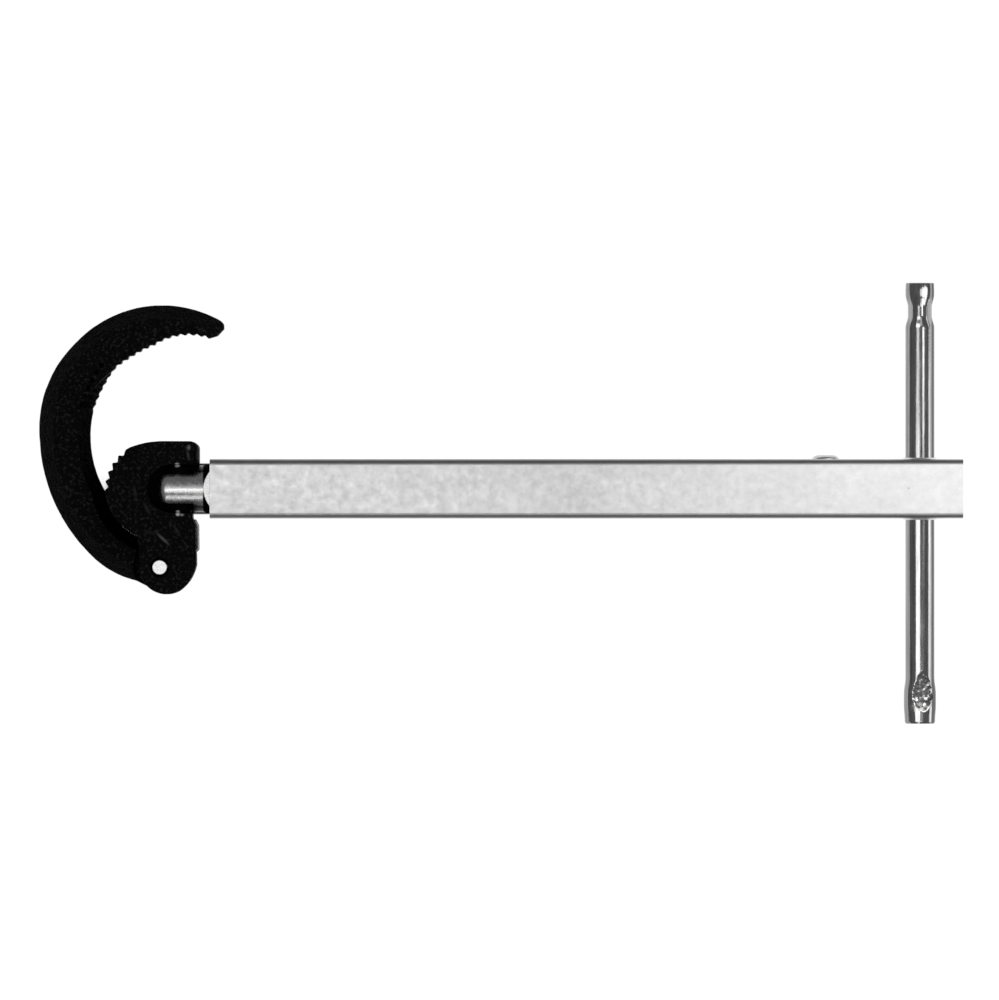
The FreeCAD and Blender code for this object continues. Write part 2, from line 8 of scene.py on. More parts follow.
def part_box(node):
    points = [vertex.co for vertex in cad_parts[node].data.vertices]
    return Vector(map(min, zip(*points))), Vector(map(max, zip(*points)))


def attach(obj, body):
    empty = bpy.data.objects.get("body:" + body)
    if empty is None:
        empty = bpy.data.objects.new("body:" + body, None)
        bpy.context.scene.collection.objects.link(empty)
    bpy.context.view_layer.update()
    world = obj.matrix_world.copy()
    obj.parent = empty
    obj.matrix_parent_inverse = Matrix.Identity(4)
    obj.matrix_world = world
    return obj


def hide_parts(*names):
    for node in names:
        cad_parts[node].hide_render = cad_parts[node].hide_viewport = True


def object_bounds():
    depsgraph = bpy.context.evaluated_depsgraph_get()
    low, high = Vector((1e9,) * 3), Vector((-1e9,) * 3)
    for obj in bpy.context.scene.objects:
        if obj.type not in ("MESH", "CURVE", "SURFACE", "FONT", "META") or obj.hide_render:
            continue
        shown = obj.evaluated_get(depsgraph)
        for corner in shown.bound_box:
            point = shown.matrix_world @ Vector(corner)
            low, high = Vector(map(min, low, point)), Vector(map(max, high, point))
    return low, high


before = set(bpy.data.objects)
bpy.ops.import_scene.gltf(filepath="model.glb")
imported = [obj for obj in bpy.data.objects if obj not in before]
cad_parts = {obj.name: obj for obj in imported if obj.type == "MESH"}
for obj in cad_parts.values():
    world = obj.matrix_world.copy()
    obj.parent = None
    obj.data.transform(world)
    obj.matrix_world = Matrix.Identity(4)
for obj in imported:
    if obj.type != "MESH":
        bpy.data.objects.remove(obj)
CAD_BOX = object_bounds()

# Lengths are in millimetres unless a name or comment says otherwise.
MM = 0.001
ANY_DEPTH = 1000.0

# Castings: weld distance, what smoothing takes off the skin, the grey that leaves the
# skin where it is, and the upward share of the normal that parts faces from bevels.
WELD = 0.002
SMOOTHING_LOSS = 0.13
SKIN_REST_LEVEL = 0.85
FACE_TILT = (0.86, 0.93)

# Tube and shaft bands, measured from the tool's long axis; they bound the painted shade on the
# tube's corners and on the collar's sides and shoulder.
TUBE_MIDDLE_Z = (CAD_BOX[0][2] + CAD_BOX[1][2]) / 2
TUBE_CORNER = (7.3, 8.3)
SHAFT_FLAT = (7.17, 7.19)
COLLAR_SIDE = (4.5, 5.2)
COLLAR_RIM = (6.7, 7.0)

# Shaft and floor, measured along the tool from the swivel axis; they bound the painted shade on the
# shaft's shoulder and the painted shadow on the floor under the slot.
SHOULDER = (7.2, 7.5)
TUBE_MOUTH = (9.4, 9.9)
SLOT_FRONT = (-10.5, -10.0)
SLOT_REAR = (9.2, 9.8)
SLOT_WALL = (7.5, 7.9)
COVER_REACH = 20.0

# Tee bar: flank bands of painted shade, punch mark and the narrowing of the far tip.
BAR_FLANK = (3.40, 3.62)
BAR_NEAR_FLANK = (-3.60, -2.9)
BAR_RADIUS = 4.4
BAR_SEGMENTS = 144
BAR_RING_STEPS = (0.12, 0.24, 2.0)
PUNCH_FOOT_Y = -66.1
PUNCH_LEVEL = 3.4
PUNCH_TURN = math.radians(11)
PUNCH_DEPTH = 1.38
TIP_START = 57.6
TIP_SLOPE = 0.115

# Lock button: radii and heights of the bore, flange and dome.
BUTTON_SEGMENTS = 72
BUTTON_BORE_R = 2.7
BUTTON_BORE_FLOOR = 2.0
BUTTON_FLANGE_R = 4.85
BUTTON_FLANGE_THICK = 1.2
BUTTON_BODY_R = 3.95
BUTTON_DOME_HIGH = 1.2
BUTTON_DOME_STEPS = 9

# Stage and camera, in metres.
FLOOR_REACH = 9.0
FLOOR_GAP = 0.02 * MM
CAMERA_PLACE = (-0.0263, -0.0034, 5.0)
CAMERA_FIELD = 0.3027
FOCUS_LEVEL = 0.015
SENSOR_WIDTH_MM = 36.0

# Soft boxes that look straight down: name, place, width, height, glow.
OVERHEAD_BOXES = [
    ("box_over", (-0.190, -0.115, 0.909), 0.58, 0.27, 2.7),
    ("box_over_near", (-0.170, 0.036, 0.909), 0.30, 0.032, 1.0),
    ("box_over_back", (-0.170, 0.118, 0.909), 0.30, 0.105, 2.2),
    ("box_corner", (0.275, 0.265, 0.909), 0.29, 0.30, 1.7),
    ("box_corner_front", (0.270, -0.220, 0.909), 0.30, 0.27, 1.0),
    ("box_side", (0.560, 0.260, 0.909), 0.32, 0.48, 3.0),
    ("box_side_far", (1.180, 0.430, 0.909), 0.86, 0.40, 2.6),
]

# Soft boxes turned to face a point: the same, then the point.
AIMED_BOXES = [
    ("strip_right", (1.0, -0.175, 0.15), 0.45, 0.30, 2.2, (0.1, -0.175, 0.009)),
    ("strip_front", (-0.123, -1.0, 1.08), 0.35, 0.42, 2.6, (-0.123, 0.0, 0.0)),
]


# ------------------------------------------------------------------ node graph helpers

class Graph:
    """A material's node tree with one Principled shader."""

    def __init__(self, name):
        self.material = bpy.data.materials.new(name)
        self.material.use_nodes = True
        self.tree = self.material.node_tree
        self.shader = self.tree.nodes["Principled BSDF"]
        self.place = self.tree.nodes.new("ShaderNodeTexCoord").outputs["Object"]

    def node(self, kind, **settings):
        """Adds a shader node with some of its settings."""
        made = self.tree.nodes.new("ShaderNode" + kind)
        for key, value in settings.items():
            setattr(made, key, value)
        return made

    def link(self, source, target):
        self.tree.links.new(source, target)

    def stretched(self, scale):
        """Object coordinates, in millimetres, stretched along an axis."""
        mapping = self.node("Mapping")
        mapping.inputs["Scale"].default_value = [s / MM for s in scale]
        self.link(self.place, mapping.inputs["Vector"])
        return mapping.outputs["Vector"]

    def noise(self, size_mm, detail, rough, scale=(1, 1, 1)):
        """Fractal noise whose largest lumps are about one size."""
        made = self.node("TexNoise")
        made.inputs["Scale"].default_value = 1.0 / size_mm
        made.inputs["Detail"].default_value = detail
        made.inputs["Roughness"].default_value = rough
        self.link(self.stretched(scale), made.inputs["Vector"])
        return made.outputs["Fac"]

    def cells(self, size_mm):
        """Distance to the nearest of many scattered points."""
        made = self.node("TexVoronoi")
        made.inputs["Scale"].default_value = 1.0 / size_mm
        self.link(self.stretched((1, 1, 1)), made.inputs["Vector"])
        return made.outputs["Distance"]

    def ramp(self, source, *stops):
        """Colour ramp; a stop is (position, grey or rgb)."""
        made = self.node("ValToRGB")
        elements = made.color_ramp.elements
        while len(elements) < len(stops):
            elements.new(0.5)
        for element, (position, colour) in zip(elements, stops):
            element.position = position
            rgb = (colour,) * 3 if isinstance(colour, (int, float)) else colour
            element.color = (*rgb, 1.0)
        self.link(source, made.inputs["Fac"])
        return made.outputs["Color"]

    def scaled(self, source, low, high, out_low, out_high):
        """Maps one range to another and holds the ends."""
        made = self.node("MapRange")
        made.inputs["From Min"].default_value = low
        made.inputs["From Max"].default_value = high
        made.inputs["To Min"].default_value = out_low
        made.inputs["To Max"].default_value = out_high
        self.link(source, made.inputs["Value"])
        return made.outputs["Result"]

    def math(self, operation, a, b):
        """One step of arithmetic on two values, each a number or a socket."""
        made = self.node("Math", operation=operation)
        for socket, value in zip(made.inputs, (a, b)):
            if isinstance(value, (int, float)):
                socket.default_value = value
            else:
                self.link(value, socket)
        return made.outputs[0]

    def mix(self, factor, a, b):
        """Colour a where the factor is 0 and b where it is 1."""
        made = self.node("MixRGB")
        self.link(factor, made.inputs["Fac"])
        for key, value in (("Color1", a), ("Color2", b)):
            if isinstance(value, tuple):
                made.inputs[key].default_value = (*value, 1.0)
            else:
                self.link(value, made.inputs[key])
        return made.outputs["Color"]

    def multiplied(self, share, a, b):
        """Colour a darkened or lit by b, by some share."""
        made = self.node("MixRGB", blend_type="MULTIPLY")
        made.inputs["Fac"].default_value = share
        self.link(a, made.inputs["Color1"])
        self.link(b, made.inputs["Color2"])
        return made.outputs["Color"]

    def bump(self, height, distance_mm, strength, under=None):
        """Relief of some depth, laid over another normal when one is given."""
        made = self.node("Bump")
        made.inputs["Strength"].default_value = strength
        made.inputs["Distance"].default_value = distance_mm * MM
        self.link(height, made.inputs["Height"])
        if under is not None:
            self.link(under, made.inputs["Normal"])
        return made.outputs["Normal"]

    def edges(self, low, high):
        """0 on flats and 1 on worn outside edges, from the mesh's own curvature."""
        pointiness = self.node("NewGeometry").outputs["Pointiness"]
        return self.scaled(pointiness, low, high, 0.0, 1.0)

    def along(self, axis):
        """One object coordinate, in metres."""
        parts = self.node("SeparateXYZ")
        self.link(self.place, parts.inputs["Vector"])
        return parts.outputs[axis]

    def band(self, axis, origin, edge_mm, out_low, out_high):
        """Goes from one value to another across a soft edge on one axis."""
        low, high = [origin + edge * MM for edge in edge_mm]
        return self.scaled(self.along(axis), low, high, out_low, out_high)

    def off_axis(self, axis, middle, edge_mm, out_low, out_high):
        """The same, by the distance to either side of a middle."""
        offset = self.math("SUBTRACT", self.along(axis), middle)
        low, high = [edge * MM for edge in edge_mm]
        return self.scaled(self.math("ABSOLUTE", offset, 0.0), low, high, out_low, out_high)

    def upright(self):
        """How squarely the surface faces up or down: 1 on the flat faces, 0 on the walls."""
        split = self.node("SeparateXYZ")
        self.link(self.node("TexCoord").outputs["Normal"], split.inputs["Vector"])
        return self.math("ABSOLUTE", split.outputs["Z"], 0.0)

    def spot(self, centre, radii_mm, low, high, turn=0.0):
        """Soft oval mark at one place on the object, turned in plan by some degrees."""
        offset = self.node("VectorMath", operation="SUBTRACT")
        offset.inputs[1].default_value = centre
        self.link(self.place, offset.inputs[0])
        swing = self.node("VectorRotate", rotation_type="Z_AXIS")
        swing.inputs["Angle"].default_value = math.radians(-turn)
        self.link(offset.outputs["Vector"], swing.inputs["Vector"])
        shrink = self.node("VectorMath", operation="DIVIDE")
        shrink.inputs[1].default_value = [r * MM for r in radii_mm]
        self.link(swing.outputs["Vector"], shrink.inputs[0])
        length = self.node("VectorMath", operation="LENGTH")
        self.link(shrink.outputs["Vector"], length.inputs[0])
        return self.scaled(length.outputs["Value"], low, high, 1.0, 0.0)

    def finish(self, colour, roughness, normal=None, **values):
        """Links the varying inputs of the shader and sets its uniform ones."""
        for key, value in (("Base Color", colour), ("Roughness", roughness), ("Normal", normal)):
            if value is not None:
                self.link(value, self.shader.inputs[key])
        for key, value in values.items():
            self.shader.inputs[key.replace("_", " ")].default_value = value
        return self.material


# ------------------------------------------------------------------ materials

def black_casting(name, seed, scratches_and_glints=()):
    """Black-oxide casting: fine sand grain, dull patches, painted shade on bevels and walls, edges
    rubbed grey, listed scratches and painted glints.
    """
    g = Graph(name)
    grain = g.noise(0.85 + 0.02 * seed, 4.0, 0.7)
    lumps = g.noise(2.6, 3.0, 0.6)
    patches = g.noise(9.0 + seed, 3.0, 0.6)
    colour = g.ramp(patches, (0.3, 0.0006), (0.7, 0.0020))
    fleck_mask = g.ramp(g.noise(0.95, 2.0, 0.6), (0.54, 0.0), (0.66, 1.0))
    colour = g.mix(fleck_mask, colour, (0.0190, 0.0190, 0.0195))
    # Painted shade: bevels and walls that face away from straight up get a near-black colour.
    flat = g.scaled(g.upright(), *FACE_TILT, 0.0, 1.0)
    colour = g.mix(flat, (0.0003, 0.0003, 0.0003), colour)
    wear = g.scaled(g.noise(1.6, 4.0, 0.7), 0.42, 0.6, 0.0, 1.0)
    rubbed = g.math("MULTIPLY", g.edges(0.525, 0.59), wear)
    colour = g.mix(rubbed, colour, (0.020, 0.020, 0.020))
    # Listed marks: scratches and rubbed places, and painted glints.
    for centre, radii, turn, level in scratches_and_glints:
        colour = g.mix(g.spot(centre, radii, 0.2, 1.0, turn), colour, (level, level, level))
    roughness = g.scaled(lumps, 0.3, 0.7, 0.34, 0.50)
    normal = g.bump(lumps, 0.40, 0.8)
    normal = g.bump(grain, 0.75, 1.0, normal)
    # Painted shade: metallic 1 on bevels and walls cuts their sheen to near black.
    g.link(g.math("SUBTRACT", 1.0, flat), g.shader.inputs["Metallic"])
    return g.finish(colour, roughness, normal, Specular_IOR_Level=0.05)


def zinc_tube():
    """Satin zinc plate over drawn tube: mottled, specked, faint lines along the tube, painted light
    that brightens it away from the head, painted shade on its rounded corners.
    """
    g = Graph("zinc_tube_satin")
    clouds = g.noise(14.0, 4.0, 0.6, (0.6, 1, 1))
    mottle = g.noise(2.2, 5.0, 0.7)
    lines = g.noise(0.5, 3.0, 0.6, (0.02, 1, 1))
    colour = g.ramp(clouds, (0.3, 0.57), (0.7, 0.63))
    fine = g.ramp(mottle, (0.35, 0.82), (0.65, 1.0))
    # Painted light: the tube's colour brightens along X, towards its far end from the head.
    drift = g.scaled(g.along("X"), -0.005, 0.11, 0.92, 1.46)
    colour = g.multiplied(0.5, colour, fine)
    specks = g.ramp(g.cells(5.5), (0.030, 1.0), (0.055, 0.0))
    speck_gate = g.ramp(g.noise(20.0, 2.0, 0.5), (0.47, 0.0), (0.55, 1.0))
    colour = g.mix(g.math("MULTIPLY", specks, speck_gate), colour, (0.33, 0.32, 0.31))
    dull = g.ramp(g.noise(5.0, 6.0, 0.75), (0.58, 0.0), (0.70, 1.0))
    colour = g.mix(g.math("MULTIPLY", dull, 0.25), colour, (0.62, 0.62, 0.61))
    # Painted shade: the tube's rounded corners are darkened to grey.
    corner = g.math("MULTIPLY", g.off_axis("Y", 0.0, TUBE_CORNER, 0.0, 1.0),
                    g.off_axis("Z", TUBE_MIDDLE_Z, TUBE_CORNER, 0.0, 1.0))
    colour = g.mix(corner, g.multiplied(1.0, colour, drift), (0.20, 0.20, 0.20))
    roughness = g.scaled(g.noise(3.0, 4.0, 0.7), 0.3, 0.7, 0.33, 0.46)
    normal = g.bump(mottle, 0.012, 0.6)
    normal = g.bump(lines, 0.006, 0.5, normal)
    return g.finish(colour, roughness, normal, Metallic=1.0)


def zinc_shaft(axis):
    """Bright plate over turned and drawn steel, with painted shade in black on the collar's sides
    and shoulder.
    """
    g = Graph("zinc_shaft_bright")
    turning = g.noise(0.30, 4.0, 0.7, (1, 0.12, 0.12))
    drawn = g.noise(0.35, 3.0, 0.6, (0.03, 1, 1))
    mottle = g.noise(1.2, 5.0, 0.7)
    colour = g.ramp(mottle, (0.3, 0.40), (0.7, 0.58))
    stain = g.ramp(g.noise(4.0, 4.0, 0.7), (0.60, 0.0), (0.75, 1.0))
    colour = g.mix(g.math("MULTIPLY", stain, 0.35), colour, (0.34, 0.34, 0.33))
    flat = g.band("Z", axis[2], SHAFT_FLAT, 0.0, 1.0)
    ahead = g.band("X", axis[0], TUBE_MOUTH, 1.0, 0.0)
    colour = g.mix(g.math("MULTIPLY", flat, ahead), colour, (0.40, 0.40, 0.395))
    # Painted shade: the collar's sides and the shoulder cone are painted black, off the top flat
    # and ahead of the tube mouth.
    side = g.off_axis("Y", 0.0, COLLAR_SIDE, 0.0, 1.0)
    rim = g.band("Z", axis[2], COLLAR_RIM, 1.0, 0.0)
    shoulder = g.band("X", axis[0], SHOULDER, 0.0, 1.0)
    cone = g.math("MULTIPLY", shoulder, rim)
    dark = g.math("MULTIPLY", g.math("MAXIMUM", side, cone), g.math("SUBTRACT", 1.0, flat))
    colour = g.mix(g.math("MULTIPLY", dark, ahead), colour, (0.02, 0.02, 0.02))
    roughness = g.scaled(mottle, 0.3, 0.7, 0.20, 0.32)
    normal = g.bump(drawn, 0.010, 0.6)
    normal = g.bump(turning, 0.045, 0.8, normal)
    return g.finish(colour, roughness, normal, Metallic=1.0)


def bright_bar(middle):
    """Bright plated bar: drawing lines along it, painted shade along its flanks, a burnished punch
    mark.
    """
    g = Graph("bright_bar_plate")
    streaks = g.noise(0.42, 4.0, 0.6, (1, 0.012, 1))
    ripple = g.noise(1.5, 3.0, 0.6, (1, 0.25, 1))
    smut = g.noise(1.3, 4.0, 0.7, (1, 0.10, 1))
    specks = g.ramp(g.noise(0.7, 4.0, 0.75), (0.62, 0.0), (0.72, 1.0))
    colour = g.ramp(streaks, (0.30, 0.27), (0.70, 0.50))
    colour = g.mix(g.ramp(smut, (0.50, 0.0), (0.70, 0.5)), colour, (0.20, 0.20, 0.20))
    colour = g.mix(g.math("MULTIPLY", specks, 0.35), colour, (0.22, 0.22, 0.215))
    # Painted shade: a dark band along the far flank and a weaker one along the near flank.
    colour = g.mix(g.band("X", middle[0], BAR_FLANK, 0.0, 0.9), colour, (0.09, 0.09, 0.09))
    near_flank = g.band("X", middle[0], BAR_NEAR_FLANK, 0.35, 0.0)
    colour = g.mix(near_flank, colour, (0.12, 0.12, 0.12))
    place = (middle[0], PUNCH_FOOT_Y * MM, middle[2] + PUNCH_LEVEL * MM)
    burnish = g.spot(place, (3.3, 1.9, 1.6), 0.5, 1.1)
    upper = (place[0], place[1] + 4.6 * MM, place[2])
    hammered = g.math("MULTIPLY", g.spot(upper, (3.0, 4.6, 1.8), 0.6, 1.05), 0.45)
    patches = g.ramp(g.noise(0.8, 3.0, 0.6), (0.40, 0.1), (0.58, 1.0))
    patchy = g.math("MULTIPLY", g.math("MAXIMUM", burnish, hammered), patches)
    colour = g.mix(patchy, colour, (0.90, 0.90, 0.89))
    roughness = g.scaled(g.noise(1.1, 4.0, 0.7, (1, 0.1, 1)), 0.3, 0.7, 0.10, 0.18)
    roughness = g.math("ADD", roughness, g.math("MULTIPLY", patchy, 0.35))
    normal = g.bump(ripple, 0.018, 0.7)
    normal = g.bump(streaks, 0.012, 0.8, normal)
    return g.finish(colour, roughness, normal, Metallic=1.0)


def plain_steel(name, tones, roughnesses, line_scale, metallic=1.0, specular=0.5, glints=()):
    """Small steel piece: mottled tone, fine working marks, and any listed painted glints."""
    g = Graph(name)
    mottle = g.noise(0.9, 4.0, 0.65)
    marks = g.noise(0.16, 3.0, 0.6, line_scale)
    colour = g.ramp(mottle, (0.3, tones[0]), (0.7, tones[1]))
    # Painted glints: small bright spots at the listed places.
    for centre, radii in glints:
        colour = g.mix(g.spot(centre, radii, 0.4, 1.0), colour, (0.95, 0.95, 0.94))
    roughness = g.scaled(mottle, 0.3, 0.7, *roughnesses)
    normal = g.bump(marks, 0.006, 0.7)
    return g.finish(colour, roughness, normal, Metallic=metallic, Specular_IOR_Level=specular)


def faced_pin(centre):
    """Black pin whose flat ends are faced bright; one small burr on the rim."""
    g = Graph("pin_faced")
    mottle = g.noise(0.9, 4.0, 0.65)
    bright = g.ramp(mottle, (0.35, 0.46), (0.65, 0.78))
    face = g.spot(centre, (2.12, 2.04, ANY_DEPTH), 0.94, 1.06)
    rim = [centre[0] + 2.1 * MM, centre[1] + 0.35 * MM, centre[2]]
    burr = g.spot(rim, (0.55, 0.45, ANY_DEPTH), 0.7, 1.2)
    mask = g.math("MAXIMUM", face, burr)
    colour = g.mix(mask, g.ramp(mottle, (0.3, 0.004), (0.7, 0.012)), bright)
    roughness = g.scaled(mottle, 0.3, 0.7, 0.32, 0.46)
    normal = g.bump(mottle, 0.02, 0.5)
    return g.finish(colour, roughness, normal, Metallic=1.0)


def pale_floor(slot_x):
    """Glowing white board with painted shadow: black and unlit where the tool covers it below the
    slot and in thin gaps.
    """
    g = Graph("studio_board")
    fibre = g.noise(30.0, 4.0, 0.6)
    cover = g.node("AmbientOcclusion", samples=16)
    cover.inputs["Distance"].default_value = COVER_REACH * MM
    # Painted shadow: where ambient occlusion finds the tool close above, under the slot and in thin
    # slits, the board turns black and stops glowing.
    covered = g.ramp(cover.outputs["AO"], (0.42, 1.0), (0.66, 0.0))
    across = g.off_axis("Y", 0.0, SLOT_WALL, 1.0, 0.0)
    ahead = g.band("X", slot_x, SLOT_FRONT, 0.0, 1.0)
    behind = g.band("X", slot_x, SLOT_REAR, 1.0, 0.0)
    under_slot = g.math("MULTIPLY", across, g.math("MULTIPLY", ahead, behind))
    slit = g.ramp(cover.outputs["AO"], (0.05, 1.0), (0.09, 0.0))
    shut = g.math("MAXIMUM", g.math("MULTIPLY", covered, under_slot), slit)
    colour = g.ramp(fibre, (0.2, 0.08), (0.8, 0.10))
    colour = g.mix(shut, colour, (0.004, 0.004, 0.004))
    glow = g.ramp(fibre, (0.2, 0.97), (0.8, 1.0))
    g.link(g.mix(shut, glow, (0.0, 0.0, 0.0)), g.shader.inputs["Emission Color"])
    roughness = g.scaled(fibre, 0, 1, 0.85, 0.95)
    return g.finish(colour, roughness, Specular_IOR_Level=0.1, Emission_Strength=1.0)


# ------------------------------------------------------------------ pieces

def middle_of(node):
    """Middle of a CAD node's box, in metres."""
    return [(low + high) / 2 for low, high in zip(*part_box(node))]


def add_object(name, mesh, material):
    """A new object in the scene with one material."""
    made = bpy.data.objects.new(name, mesh)
    bpy.context.scene.collection.objects.link(made)
    made.data.materials.clear()
    made.data.materials.append(material)
    return made


def baked(made):
    """Swaps the object's mesh for the result of its modifiers."""
    bpy.context.view_layer.update()
    graph = bpy.context.evaluated_depsgraph_get()
    result = bpy.data.meshes.new_from_object(made.evaluated_get(graph))
    made.modifiers.clear()
    made.data = result


def cast_copy(node, name, material, voxel_mm, softening, grain_mm, depth_mm):
    """The CAD casting with its edges softened and a cast skin pressed inwards."""
    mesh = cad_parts[node].data.copy()
    work = bmesh.new()
    work.from_mesh(mesh)
    bmesh.ops.remove_doubles(work, verts=work.verts, dist=WELD * MM)
    work.to_mesh(mesh)
    work.free()
    made = add_object(name, mesh, material)
    remesh = made.modifiers.new("even_skin", "REMESH")
    remesh.mode = "VOXEL"
    remesh.voxel_size = voxel_mm * MM
    smooth = made.modifiers.new("soft_edges", "SMOOTH")
    smooth.factor = 0.5
    smooth.iterations = softening
    swell = made.modifiers.new("swell", "DISPLACE")
    swell.mid_level = 0.0
    swell.strength = SMOOTHING_LOSS * MM
    for index, (size, depth) in enumerate(zip(grain_mm, depth_mm)):
        cloud = bpy.data.textures.new(name + "_grain_" + str(index), "CLOUDS")
        cloud.noise_scale = size * MM
        cloud.noise_depth = 2
        press = made.modifiers.new("skin_" + str(index), "DISPLACE")
        press.texture = cloud
        press.mid_level = SKIN_REST_LEVEL
        press.strength = depth * MM
    baked(made)
    lowest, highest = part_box(node)
    for vertex in made.data.vertices:
        vertex.co = [min(max(low, at), high) for low, at, high in zip(lowest, vertex.co, highest)]
    made.data.materials.clear()
    made.data.materials.append(material)
    for polygon in made.data.polygons:
        polygon.use_smooth = True
    return made


def eased(value, stations):
    """Cosine-eased lookup in a list of (position, a, b)."""
    for low, high in zip(stations, stations[1:]):
        if value <= high[0]:
            share = (value - low[0]) / (high[0] - low[0])
            share = (1 - math.cos(math.pi * max(0.0, min(1.0, share)))) / 2
            return [p + (q - p) * share for p, q in zip(low[1:], high[1:])]
    return list(stations[-1][1:])


def joined(work, rings):
    """Skins each pair of neighbouring rings."""
    for one, two in zip(rings, rings[1:]):
        for step in range(len(one)):
            after = (step + 1) % len(one)
            work.faces.new((one[step], one[after], two[after], two[step]))


def capped(work, ring, place):
    """Closes a ring with a fan about one point."""
    hub = work.verts.new(place)
    for step in range(len(ring)):
        work.faces.new((ring[step], ring[(step + 1) % len(ring)], hub))


def shaded(work, name, sharp_degrees):
    """Finishes a mesh: faces outwards, smooth but for its sharp corners."""
    bmesh.ops.recalc_face_normals(work, faces=work.faces)
    mesh = bpy.data.meshes.new(name)
    work.to_mesh(mesh)
    work.free()
    for polygon in mesh.polygons:
        polygon.use_smooth = True
    mesh.set_sharp_from_angle(angle=math.radians(sharp_degrees))
    return mesh


def punched(x, y, z, half_z, dent):
    """Moves one point of a ring down onto the punch mark's two hammered faces."""
    across = x * math.cos(PUNCH_TURN) - z * math.sin(PUNCH_TURN)
    up = x * math.sin(PUNCH_TURN) + z * math.cos(PUNCH_TURN)
    hammer = noise.noise(Vector((across * 0.85, y * 0.85, 3.0 * math.copysign(1, up))))
    scoop = dent * (1.12 - 0.030 * across * across)
    limit = half_z - scoop + 0.22 * hammer * min(1.0, dent * 2)
    up = max(-limit, min(limit, up))
    x = across * math.cos(PUNCH_TURN) + up * math.sin(PUNCH_TURN)
    z = up * math.cos(PUNCH_TURN) - across * math.sin(PUNCH_TURN)
    return x, z


def bar_ring(centre, y, half_x, half_z, dent):
    """One ring of the tee bar, as points."""
    ring = []
    for step in range(BAR_SEGMENTS):
        angle = 2 * math.pi * step / BAR_SEGMENTS
        x = half_x * math.cos(angle)
        z = half_z * math.sin(angle)
        if dent > 0:
            x, z = punched(x, y, z, half_z, dent)
        ring.append(centre + Vector((x, 0, z)) * MM)
    return ring


def bar_rows(bottom, top):
    """Where the bar's rings lie: close together at its shaped ends."""
    finest, fine, plain = BAR_RING_STEPS
    rows = []
    y = bottom
    while y < top - 0.01:
        rows.append(y)
        if y < bottom + 0.6 or y > top - 0.7:
            y += finest
        elif y < -52 or 48 < y < 60 or y > top - 1.2:
            y += fine
        else:
            y += plain
    return rows + [top]


def dent_at(y, dents):
    """Depth of the punch mark, straight between its stations."""
    depth = 0.0
    for (y0, d0), (y1, d1) in zip(dents, dents[1:]):
        if y0 <= y <= y1:
            depth = d0 + (d1 - d0) * (y - y0) / (y1 - y0)
    return depth


def tee_bar(material):
    """Bright bar with its two pinched ends and the punch mark near the lower one."""
    low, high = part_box("t_bar")
    centre_x, _, centre_z = middle_of("t_bar")
    bottom, top = low[1] / MM, high[1] / MM
    round_bar = BAR_RADIUS
    shape = [
        (bottom, 4.1, 4.0), (bottom + 0.15, 4.4, 4.25), (bottom + 0.6, 4.6, 4.4),
        (-65.4, 4.88, round_bar), (-62.4, 4.88, round_bar), (-56.8, round_bar, round_bar),
        (48.8, round_bar, round_bar), (52.4, 3.66, 4.86), (55.0, 3.66, 4.86),
        (58.8, 4.38, round_bar), (top - 0.5, 4.38, 4.38), (top - 0.12, 4.25, 4.25),
        (top, 4.0, 4.0),
    ]
    dents = [(bottom, 0.0), (-67.4, 0.0), (-63.2, PUNCH_DEPTH), (-55.0, 0.0), (top, 0.0)]
    work = bmesh.new()
    rings = []
    for y in bar_rows(bottom, top):
        half_x, half_z = eased(y, shape)
        half_z -= TIP_SLOPE * max(0.0, y - TIP_START)
        centre = Vector((centre_x, y * MM, centre_z))
        points = bar_ring(centre, y, half_x, half_z, dent_at(y, dents))
        rings.append([work.verts.new(point) for point in points])
    joined(work, rings)
    capped(work, rings[0], (centre_x, bottom * MM, centre_z))
    capped(work, rings[-1], (centre_x, top * MM, centre_z))
    return add_object("tee_bar_bright", shaded(work, "tee_bar_bright", 24), material)


def button_profile(bottom, top):
    """The button's outline from its bore to its dished top, as (radius, height)."""
    flange_top = bottom + BUTTON_FLANGE_THICK
    dome_foot = top - BUTTON_DOME_HIGH
    profile = [
        (BUTTON_BORE_R, top - BUTTON_BORE_FLOOR), (BUTTON_BORE_R, bottom),
        (BUTTON_FLANGE_R - 0.1, bottom), (BUTTON_FLANGE_R, bottom + 0.1),
        (BUTTON_FLANGE_R, flange_top - 0.1), (BUTTON_FLANGE_R - 0.1, flange_top),
        (BUTTON_BODY_R, flange_top), (BUTTON_BODY_R, dome_foot),
    ]
    for step in range(1, BUTTON_DOME_STEPS):
        angle = math.radians(90 * step / BUTTON_DOME_STEPS)
        profile.append((2.15 + 1.8 * math.cos(angle), dome_foot + 1.15 * math.sin(angle)))
    return profile + [(2.1, top), (1.2, top - 0.03), (0.5, top - 0.04)]


def button_dome(material):
    """Lock button: turned dome with a flattened, slightly dished top, over a flange."""
    low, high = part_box("lock_button")
    centre_x, _, centre_z = middle_of("lock_button")
    bottom, top = low[1] / MM, high[1] / MM
    profile = button_profile(bottom, top)
    work = bmesh.new()
    rings = []
    for radius, y in profile:
        ring = []
        for step in range(BUTTON_SEGMENTS):
            angle = 2 * math.pi * step / BUTTON_SEGMENTS
            x = centre_x + radius * math.cos(angle) * MM
            z = centre_z + radius * math.sin(angle) * MM
            ring.append(work.verts.new((x, y * MM, z)))
        rings.append(ring)
    joined(work, rings)
    for ring, (_, y) in ((rings[0], profile[0]), (rings[-1], profile[-1])):
        capped(work, ring, (centre_x, y * MM, centre_z))
    return add_object("lock_button_dome", shaded(work, "lock_button_dome", 35), material)


